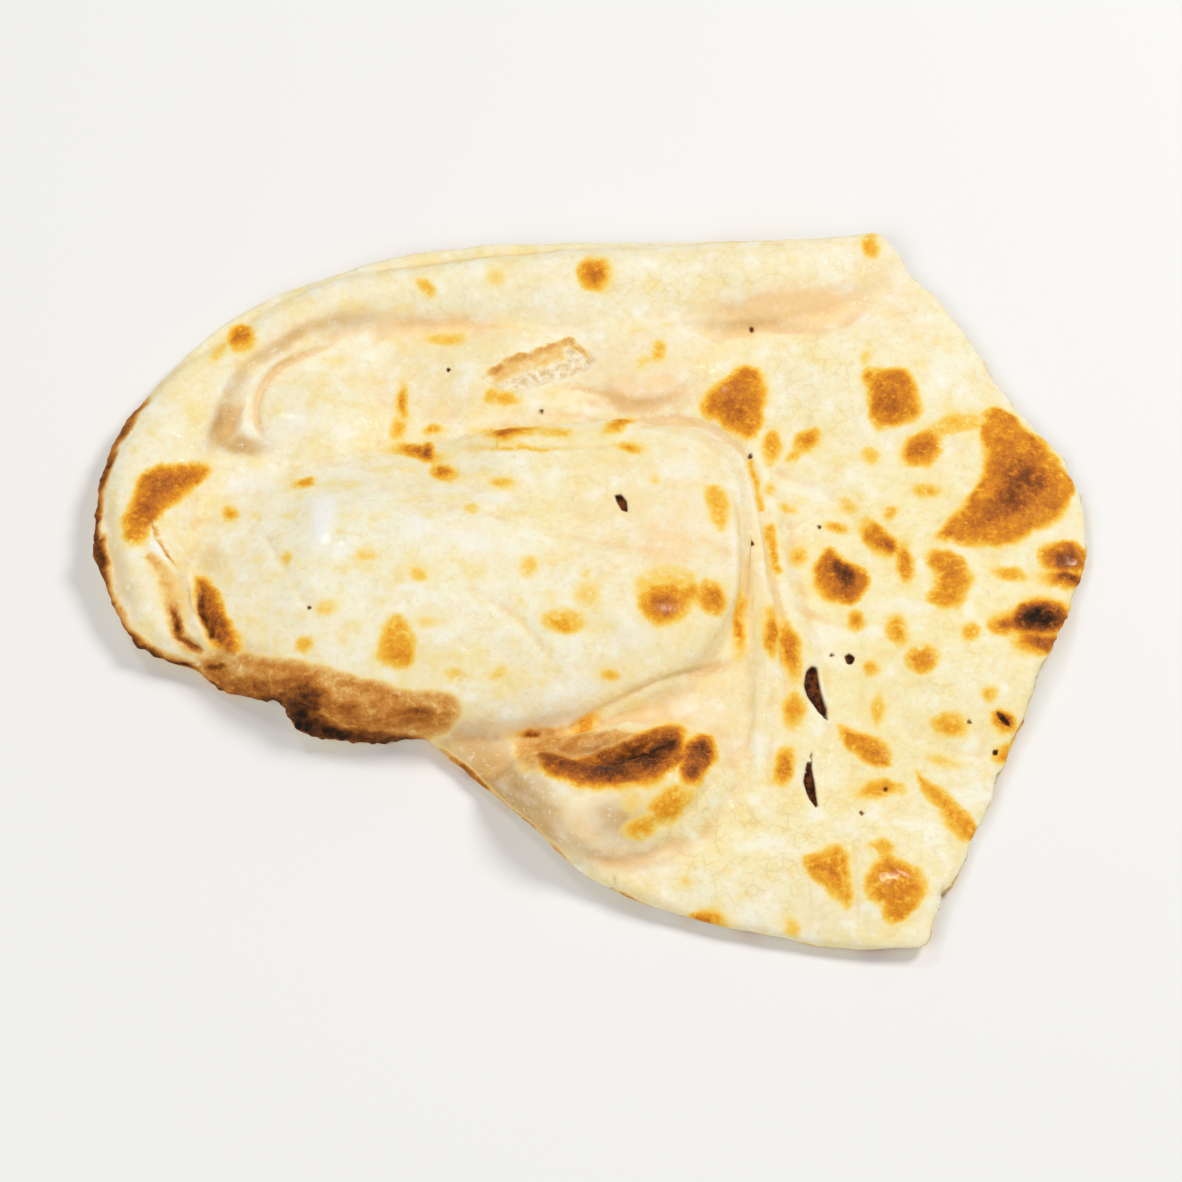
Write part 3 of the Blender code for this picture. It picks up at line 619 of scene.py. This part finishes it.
def toast(pixels, spread):
    """Darkness of each point from the toast marks, 0 for pale dough and 1 for char.

    The spread, about 1, is how soft the marks' edges are at each point.
    """
    dark = np.zeros(len(pixels))

    def mark(rows, share, half_width, darkness, edge_tone=EDGE_TONE):
        """A mark whose share is 1 in its middle and 0 on its edge."""
        inward = share * half_width
        soft = min(SOFTEST_EDGE, 1.8 * half_width) * spread[rows] * (1.3 - 0.5 * darkness)
        edge = smooth_step((inward + 0.5 * soft) / soft)
        core = edge_tone + (1.0 - edge_tone) * smooth_step(share / 0.85)
        halo = HALO_TONE * spread[rows] * smooth_step((inward + HALO_REACH) / HALO_FADE)
        raise_rows(dark, rows, darkness * np.maximum(edge * core, halo))

    for *shape, darkness in SPOTS:
        x, y, length, width, _ = shape
        rows = near(pixels, (x, y), max(length, width) + MARK_MARGIN)
        mark(rows, 1.0 - spot_radius(pixels[rows], *shape), min(length, width), darkness)
    for darkness, ring in PATCHES:
        rows = near(pixels, ring, MARK_MARGIN)
        depth = depth_in_patch(pixels[rows], rounded(ring))
        mark(rows, depth / depth.max(), depth.max(), darkness, PATCH_EDGE_TONE)
    for darkness, half_width, path in BROWNED_LINES:
        rows = near(pixels, path, half_width + 4)
        gap, _, _ = line_distance(pixels[rows], curve_through(path))
        mark(rows, 1.0 - gap / half_width, half_width, darkness)
    for loss, half_width, path in PALE_FOLDS:
        dark *= 1.0 - loss * line_profile(pixels, half_width, path)
    return dark


def scorch(pixels, stained, wander):
    """Darkness of scorched skin and of the rim, which browns inwards from the outline; partly
    painted shade on the lower outline.
    """
    dark = np.zeros(len(pixels))
    for darkness, ring in SCORCHES:
        rows = near(stained, ring, MARK_MARGIN)
        depth = depth_in_patch(stained[rows], rounded(ring))
        raise_rows(dark, rows, darkness * smooth_step(depth / SCORCH_EDGE + 0.5))
    for darkness, half_width, path in SCORCHED_LINES:
        rows = near(stained, path, half_width + 2)
        gap, share, _ = line_distance(stained[rows], curve_through(path))
        edge = end_fade(share, 0.15, 0.2) * smooth_step(1.3 - gap / half_width)
        raise_rows(dark, rows, darkness * edge)
    for darkness, width, path in RIM_BROWNING_AND_SHADE:
        rows = near(pixels, path, 2 * width)
        gap, share, side = line_distance(pixels[rows], curve_through(path))
        gap = np.where(side > 0, 0.0, gap)  # all that lies beyond the outline browns as the rim
        reach = width * (1.0 + 0.45 * wander[rows])
        edge = end_fade(share, 0.16) * smooth_step((1.7 * reach - gap) / (1.7 * width))
        raise_rows(dark, rows, darkness * edge * (1.0 + 0.12 * wander[rows]))
    return dark


def hole_depth(pixels):
    """How many pixels inside the nearest slit or pinhole each point lies, below 0 outside."""
    depth = np.full(len(pixels), -HOLE_REACH)
    for _, ring in SLITS:
        rows = near(pixels, ring, HOLE_REACH)
        raise_rows(depth, rows, depth_in_patch(pixels[rows], ring))
    for x, y in PINHOLES:
        rows = near(pixels, (x, y), HOLE_REACH)
        raise_rows(depth, rows, PINHOLE_RADIUS - np.hypot(*(pixels[rows] - (x, y)).T))
    return depth


def relief(pixels, points, dark):
    """Height in mm that the details add along the skin's normal."""
    height = np.zeros(len(pixels))
    for depth, half_width, path in CREASES:
        height -= depth * line_profile(pixels, half_width, path)
    for rise, half_width, path in WRINKLES:
        height += rise * line_profile(pixels, half_width, path)
    height += BLISTER_RISE * smooth_step((dark - 0.25) / 0.4) * smooth_step((0.97 - dark) / 0.2)
    for depth, ring in SLITS:
        rows = near(pixels, ring, SLIT_MARGIN)
        height[rows] -= depth * smooth_step((depth_in_patch(pixels[rows], ring) + 1.0) / 2.4)
    for x, y in PINHOLES:
        height -= PINHOLE_DEPTH * smooth_step(DIMPLE_RADIUS - np.hypot(*(pixels - (x, y)).T))
    rows = near(pixels, FLAKE, FLAKE_MARGIN)
    torn_off = smooth_step((depth_in_patch(pixels[rows], FLAKE) + 0.4) / 1.8)
    height[rows] -= torn_off * (FLAKE_DEPTH + layered(points[rows], FLAKE_GRAIN))
    return height + layered(points, GRAIN)


def torn_edge(points, skin):
    """1 on the raw edge left by the tear, 0 elsewhere."""
    gap, share, _ = line_distance(points[:, :2], plan(curve_through(TEAR), TEAR_HEIGHT))
    side = smooth_step((0.72 - np.abs(skin[:, 2])) / 0.35)
    return side * end_fade(share, 0.03) * smooth_step((TEAR_REACH - gap) / TEAR_FADE)


def worked_bread():
    """The bread's mesh with its relief, and with its marks and areas stored on its vertices."""
    mesh = subdivided_bread()
    points, skin = positions(mesh), normals(mesh)
    pixels = photo_pixels(points)
    # How far the skin faces the camera, and whether it is seen there, marked, or on top
    facing = skin @ np.array([0.0, -math.cos(VIEW_ELEVATION), math.sin(VIEW_ELEVATION)])
    seen = smooth_step(facing / 0.25)
    marked = smooth_step((facing + 0.3) / 0.3)
    upper = smooth_step((skin[:, 2] + 0.35) / 0.5)
    tear = torn_edge(points, skin)

    stained = pixels + np.column_stack([layered(points, layers) for layers in STAIN_WARPS])
    spread = 0.55 + 0.65 * smooth_step(0.5 + layered(points, SPREAD_LAYERS))
    dark = toast(stained, spread) * marked
    scorched = scorch(pixels, stained, layered(points, RIM_LAYERS)) * marked
    hole = np.where(seen > 0.3, hole_depth(pixels), -HOLE_REACH)

    height = relief(pixels, points, dark) * upper
    height += (1.0 - upper) * layered(points, BASE_GRAIN)
    rough = scorched + 1.6 * smooth_step((scorched - 0.6) / 0.3)
    height += rough * layered(points, BARK_GRAIN)
    height += tear * layered(points, TORN_GRAIN)
    height -= RAW_DEPTH * tear * smooth_step((0.45 - np.abs(skin[:, 2])) / 0.3)
    points = points + skin * height[:, None]
    low, high = (np.array(corner) / MM for corner in CAD_BOX)
    points = np.clip(points, low + BOX_MARGIN, high - BOX_MARGIN)
    set_mesh(mesh, points)

    relief_shade = relaxed(points[:, 2], edge_ends(mesh), HOLLOW_ROUNDS) - points[:, 2]
    flake = smooth_step((depth_in_patch(pixels, FLAKE) + 0.5) / 2.0) * seen
    kept = {
        "toast": np.clip(dark, 0.0, 1.0),
        "scorch": np.clip(scorched, 0.0, 1.0),
        "hole": hole,
        "relief_shade": np.clip(relief_shade / SHADE_FULL_DEPTH, -1.0, 1.0) * upper,
        "crumb": np.maximum(flake, tear),
        "upper": upper,
        "seen": seen,
    }
    for name, blobs in ZONES.items():
        kept[name] = zones(stained, blobs) * seen
    for name, values in kept.items():
        keep(mesh, name, values)
    return mesh


# The material -------------------------------------------------------------------------------

MIX_SOCKETS = {"RGBA": (6, 7, 2), "VECTOR": (4, 5, 1)}  # a mix node's two inputs and its output


class Nodes:
    """Short names for making and linking shader nodes."""

    def __init__(self, material):
        self.tree = material.node_tree

    def add(self, kind, settings=None, **inputs):
        node = self.tree.nodes.new(kind)
        for name, value in (settings or {}).items():
            setattr(node, name, value)
        for name, value in inputs.items():
            self.feed(node.inputs[name.replace("_", " ")], value)
        return node

    def feed(self, socket, value):
        if isinstance(value, bpy.types.NodeSocket):
            self.tree.links.new(value, socket)
        else:
            socket.default_value = value

    def attribute(self, name):
        return self.add("ShaderNodeAttribute", {"attribute_name": name}).outputs["Fac"]

    def noise(self, place, wavelength, detail=3.0, roughness=0.55):
        made = self.add("ShaderNodeTexNoise", Vector=place, Scale=1.0 / (wavelength * MM),
                        Detail=detail, Roughness=roughness)
        return made.outputs["Fac"]

    def math(self, operation, a, b=0.0, c=0.0, clamp=False):
        node = self.add("ShaderNodeMath", {"operation": operation, "use_clamp": clamp})
        for socket, value in zip(node.inputs, (a, b, c)):
            self.feed(socket, value)
        return node.outputs[0]

    def range(self, value, low, high, to_low=0.0, to_high=1.0):
        node = self.add("ShaderNodeMapRange", {"interpolation_type": "SMOOTHSTEP"}, Value=value)
        ends = {"From Min": low, "From Max": high, "To Min": to_low, "To Max": to_high}
        for name, number in ends.items():
            node.inputs[name].default_value = number
        return node.outputs[0]

    def mix(self, share, a, b, kind="RGBA"):
        node = self.add("ShaderNodeMix", {"data_type": kind})
        first, second, result = MIX_SOCKETS[kind]
        for socket, value in ((0, share), (first, a), (second, b)):
            self.feed(node.inputs[socket], value)
        return node.outputs[result]

    def ramp(self, value, stops):
        node = self.add("ShaderNodeValToRGB", Fac=value)
        points = node.color_ramp.elements
        while len(points) < len(stops):
            points.new(0.5)
        for point, (place, colour) in zip(points, stops):
            point.position = place
            point.color = colour
        return node.outputs["Color"]


def rgb(red, green, blue):
    """A colour as the screen shows it, 0 to 255, for the shader."""
    def linear(value):
        value /= 255
        return value / 12.92 if value <= 0.04045 else ((value + 0.055) / 1.055) ** 2.4
    return (linear(red), linear(green), linear(blue), 1.0)


# Colours by darkness: of toast marks, and of scorched skin, which is duller
TOAST_COLOURS = [
    (0.0, rgb(251, 238, 196)), (0.1, rgb(251, 226, 146)), (0.22, rgb(249, 203, 88)),
    (0.34, rgb(242, 174, 48)), (0.46, rgb(225, 143, 34)), (0.58, rgb(196, 114, 36)),
    (0.7, rgb(153, 84, 32)), (0.82, rgb(100, 54, 24)), (0.92, rgb(58, 34, 18)),
    (1.0, rgb(28, 20, 15)),
]
SCORCH_COLOURS = [
    (0.0, rgb(248, 228, 180)), (0.2, rgb(238, 194, 120)), (0.36, rgb(216, 152, 70)),
    (0.5, rgb(190, 118, 44)), (0.64, rgb(154, 88, 30)), (0.78, rgb(104, 58, 22)),
    (0.9, rgb(64, 38, 20)), (1.0, rgb(36, 25, 17)),
]

# Pairs of colours that take turns: of plain dough, of its crumb and in a slit, where the dark
# browns are partly browned torn skin and partly painted shade in the gap
CREAM = rgb(249, 240, 210), rgb(249, 233, 184)
CRUMB = rgb(253, 245, 222), rgb(226, 194, 136)
SLIT = rgb(46, 20, 4), rgb(112, 58, 20)

# The dough's textures, from broad to finest, as noise: wavelength in mm, detail and, where it
# isn't the usual one, roughness
TEXTURES = [(24.0, 3.0), (6.0, 4.0), (1.6, 4.0, 0.65), (0.55, 2.0)]

CRACK_CELL, CRACK_BEND, CRACK_BEND_WAVE = 3.6, 1.6, 3.0  # mm
CRACK_WIDTH = 0.09  # of a cell

# Marks where the photograph shows nothing: wavelength in mm and detail of the noise, the values
# between which it turns into a mark, and the darkness there
HIDDEN_MARKS = [
    (8.5, 2.0, (0.56, 0.72, 0.0, 0.66)),  # dark spots
    (3.2, 1.0, (0.64, 0.74, 0.0, 0.34)),  # freckles
    (26.0, 4.0, (0.42, 0.68, 0.04, 0.36)),  # broad golden areas
]

STREAK_STRETCH = (0.5, 1.0, 1.0)  # the streaks of scorched skin are drawn out along x
STREAK_WAVELENGTH, FLECK_WAVELENGTH = 4.0, 1.7  # mm
BUTTER_WAVELENGTH, BEAD_WAVELENGTH = 11.0, 1.3  # mm

SURFACE = {
    "Coat Roughness": 0.16,
    "Specular IOR Level": 0.1,
    "Subsurface Weight": 0.12,
    "Subsurface Radius": (0.004, 0.0022, 0.001),
    "Subsurface Scale": 1.0,
}
BUMP_STRENGTH, BUMP_HEIGHT = 0.5, 0.0006  # the height in metres


def dough_colour(n, place, broad, patchy, fine):
    """Pale dough, before it is toasted, with painted shade in hollows and on slopes, painted light
    on ridges and a painted sheen on buttered patches.
    """
    peach_shading = n.math("MULTIPLY", n.attribute("peach_shade"), n.range(patchy, 0.2, 0.6, 0.6, 1.0))
    shade = n.math("MULTIPLY", n.attribute("painted_shade"), n.range(patchy, 0.2, 0.6, 0.75, 1.0))
    cracks = n.math("MULTIPLY", crazing(n, place, patchy), n.attribute("crazed"))
    relief_shade = n.attribute("relief_shade")
    tints = [
        (n.math("MULTIPLY", n.attribute("yellow"), 0.75), rgb(251, 238, 180)),
        (n.math("MULTIPLY", n.attribute("ivory"), 0.8), rgb(246, 243, 219)),
        (n.range(patchy, 0.5, 0.7, 0.0, 0.85), rgb(249, 227, 158)),
        (n.range(patchy, 0.3, 0.48, 0.75, 0.0), rgb(252, 249, 232)),
        # painted peach shade, deeper where it is strongest
        (peach_shading, rgb(250, 222, 178)),
        (n.range(peach_shading, 0.5, 0.95), rgb(254, 219, 164)),
        # painted shade in deep hollows and on the lower flank
        (shade, rgb(208, 166, 102)),
        (n.range(fine, 0.5, 0.75, 0.0, 0.5), rgb(238, 208, 148)),
        (n.range(fine, 0.25, 0.45, 0.6, 0.0), rgb(254, 251, 236)),
        (n.math("MULTIPLY", cracks, 0.4), rgb(222, 196, 138)),
        # painted shade in hollows
        (n.range(relief_shade, 0.05, 0.8, 0.0, 0.6), rgb(238, 196, 134)),
        # painted light on ridges
        (n.range(relief_shade, -0.9, -0.1, 0.45, 0.0), rgb(253, 248, 230)),
        # painted sheen on the buttered patches
        (n.math("MULTIPLY", n.attribute("wet_and_sheen"), 0.9), rgb(254, 253, 247)),
    ]
    cream = n.mix(n.range(broad, 0.35, 0.65), *CREAM)
    for share, tint in tints:
        cream = n.mix(share, cream, tint)
    return n.mix(n.attribute("crumb"), cream, n.mix(n.range(fine, 0.3, 0.7), *CRUMB))


def crazing(n, place, patchy):
    """1 on the fine cracks of a dried skin, in patches, and 0 between them."""
    bend = n.add("ShaderNodeTexNoise", Vector=place, Scale=1.0 / (CRACK_BEND_WAVE * MM))
    bent = n.mix(CRACK_BEND * MM, place, bend.outputs["Color"], "VECTOR")
    cells = n.add("ShaderNodeTexVoronoi", {"feature": "DISTANCE_TO_EDGE"}, Vector=bent,
                  Scale=1.0 / (CRACK_CELL * MM))
    line = n.range(cells.outputs["Distance"], 0.0, CRACK_WIDTH, 1.0, 0.0)
    return n.math("MULTIPLY", line, n.range(patchy, 0.42, 0.56))


def hidden_toast(n, place):
    """Marks of the sides, the back and the underside, which the photograph doesn't show."""
    marks = 0.0
    for wavelength, detail, ends in HIDDEN_MARKS:
        marks = n.math("MAXIMUM", marks, n.range(n.noise(place, wavelength, detail), *ends))
    return n.math("MULTIPLY", marks, n.range(n.attribute("seen"), 0.1, 0.7, 1.0, 0.0))


def streaked_scorch(n, place):
    """How scorched the skin is, broken into streaks where it is only a little."""
    drawn = n.add("ShaderNodeVectorMath", {"operation": "MULTIPLY"})
    n.feed(drawn.inputs[0], place)
    n.feed(drawn.inputs[1], STREAK_STRETCH)
    streaks = n.noise(drawn.outputs["Vector"], STREAK_WAVELENGTH, 2.0)
    burnt = n.attribute("scorch")
    return n.math("MULTIPLY_ADD", n.math("SUBTRACT", streaks, 0.5),
                  n.range(burnt, 0.05, 0.4, 0.0, 0.55), burnt)


def speckled(n, place, dark, textures):
    """The darkness, uneven by each texture times its weight."""
    speckle = 0.0
    for texture, weight in textures:
        uneven = n.math("MULTIPLY", n.math("SUBTRACT", texture, 0.5), weight)
        speckle = n.math("ADD", speckle, uneven)
    flecks = n.range(n.noise(place, FLECK_WAVELENGTH, 3.0), 0.52, 0.7, 0.0, -0.13)
    speckle = n.math("ADD", speckle, flecks)
    return n.math("MULTIPLY_ADD", speckle, n.range(dark, 0.02, 0.4), dark)


def butter_gloss(n, place, dark, hole):
    """The weight of the coat of butter, more where the skin is wet and pale."""
    butter = n.range(n.noise(place, BUTTER_WAVELENGTH, 3.0), 0.42, 0.62)
    beads = n.range(n.noise(place, BEAD_WAVELENGTH, 1.0), 0.56, 0.66)
    gloss = n.math("MULTIPLY", beads, n.math("ADD", n.math("MULTIPLY", butter, 0.28), 0.08))
    gloss = n.math("MULTIPLY", gloss, n.range(dark, 0.15, 0.35, 1.0, 0.15))
    gloss = n.math("ADD", gloss, n.math("MULTIPLY", n.attribute("wet_and_sheen"), 0.7))
    gloss = n.math("MULTIPLY", gloss, n.math("SUBTRACT", n.attribute("upper"), hole, clamp=True))
    return n.math("MINIMUM", gloss, 1.0)


def bread_material():
    material = bpy.data.materials.new("baked_dough")
    material.use_nodes = True
    shader = material.node_tree.nodes["Principled BSDF"]
    n = Nodes(material)
    place = n.add("ShaderNodeTexCoord").outputs["Object"]
    broad, patchy, fine, finest = (n.noise(place, *texture) for texture in TEXTURES)

    burnt = streaked_scorch(n, place)
    dark = n.math("MAXIMUM", n.attribute("toast"), hidden_toast(n, place))
    dark = n.math("MAXIMUM", dark, burnt)
    amount = speckled(n, place, dark, ((fine, 0.36), (finest, 0.2), (patchy, 0.4)))
    browned = n.mix(n.range(burnt, 0.04, 0.26), n.ramp(amount, TOAST_COLOURS),
                    n.ramp(amount, SCORCH_COLOURS))
    cream = dough_colour(n, place, broad, patchy, fine)
    colour = n.mix(n.range(amount, 0.0, 0.2), cream, browned)
    hole = n.range(n.attribute("hole"), -0.5, 0.4)
    # slits and pinholes painted dark brown: partly browned torn skin, partly painted shade inside
    # the hole
    colour = n.mix(hole, colour, n.mix(n.range(fine, 0.4, 0.6), *SLIT))
    bumps = n.math("ADD", n.math("MULTIPLY", fine, 0.6), n.math("MULTIPLY", finest, 0.3))
    bump = n.add("ShaderNodeBump", Height=bumps, Strength=BUMP_STRENGTH, Distance=BUMP_HEIGHT)

    n.feed(shader.inputs["Base Color"], colour)
    n.feed(shader.inputs["Coat Weight"], butter_gloss(n, place, dark, hole))
    n.feed(shader.inputs["Roughness"], n.range(patchy, 0.3, 0.7, 0.56, 0.7))
    n.feed(shader.inputs["Normal"], bump.outputs["Normal"])
    for name, value in SURFACE.items():
        n.feed(shader.inputs[name], value)
    return material


def plain_material(name, colour, roughness):
    material = bpy.data.materials.new(name)
    material.use_nodes = True
    shader = material.node_tree.nodes["Principled BSDF"]
    shader.inputs["Base Color"].default_value = colour
    shader.inputs["Roughness"].default_value = roughness
    return material


# The stage ----------------------------------------------------------------------------------


def make_floor():
    mesh = bpy.data.meshes.new("floor")
    signs = ((-1, -1), (1, -1), (1, 1), (-1, 1))
    corners = [(x * FLOOR_HALF, y * FLOOR_HALF, FLOOR_LEVEL) for x, y in signs]
    mesh.from_pydata(corners, [], [(0, 1, 2, 3)])
    mesh.materials.append(plain_material("floor_paint", FLOOR_COLOUR, FLOOR_ROUGHNESS))
    floor = bpy.data.objects.new("floor", mesh)
    bpy.context.scene.collection.objects.link(floor)


def aim(item, target):
    item.rotation_mode = "QUATERNION"
    item.rotation_quaternion = (Vector(target) - item.location).to_track_quat("-Z", "Y")


def make_light(name, place, size, power, colour):
    data = bpy.data.lights.new(name, "AREA")
    data.shape = "DISK"
    data.size, data.energy, data.color = size, power, colour
    light = bpy.data.objects.new(name, data)
    light.location = place
    bpy.context.scene.collection.objects.link(light)
    aim(light, (0, 0, 0))


def make_world():
    world = bpy.data.worlds.new("studio")
    bpy.context.scene.world = world
    world.use_nodes = True
    background = world.node_tree.nodes["Background"]
    background.inputs["Color"].default_value = WORLD_COLOUR
    background.inputs["Strength"].default_value = WORLD_STRENGTH


def make_camera():
    data = bpy.data.cameras.new("camera")
    data.lens, data.sensor_width = LENS, SENSOR
    camera = bpy.data.objects.new("camera", data)
    width = FRAME_PIXELS * MM_PER_PIXEL * MM
    away = width * LENS / SENSOR
    camera.location = (0.0, -away * math.cos(VIEW_ELEVATION), away * math.sin(VIEW_ELEVATION))
    bpy.context.scene.collection.objects.link(camera)
    aim(camera, (0, 0, 0))
    bpy.context.scene.camera = camera


def main():
    bread = bpy.data.objects.new("naan_bread", worked_bread())
    bread.data.materials.clear()
    bread.data.materials.append(bread_material())
    bpy.context.scene.collection.objects.link(bread)
    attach(bread, "root")
    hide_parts(NODE)
    make_floor()
    make_world()
    for light in LIGHTS:
        make_light(*light)
    make_camera()
    scene = bpy.context.scene
    scene.view_settings.view_transform = "Standard"
    scene.view_settings.look = "None"


main()
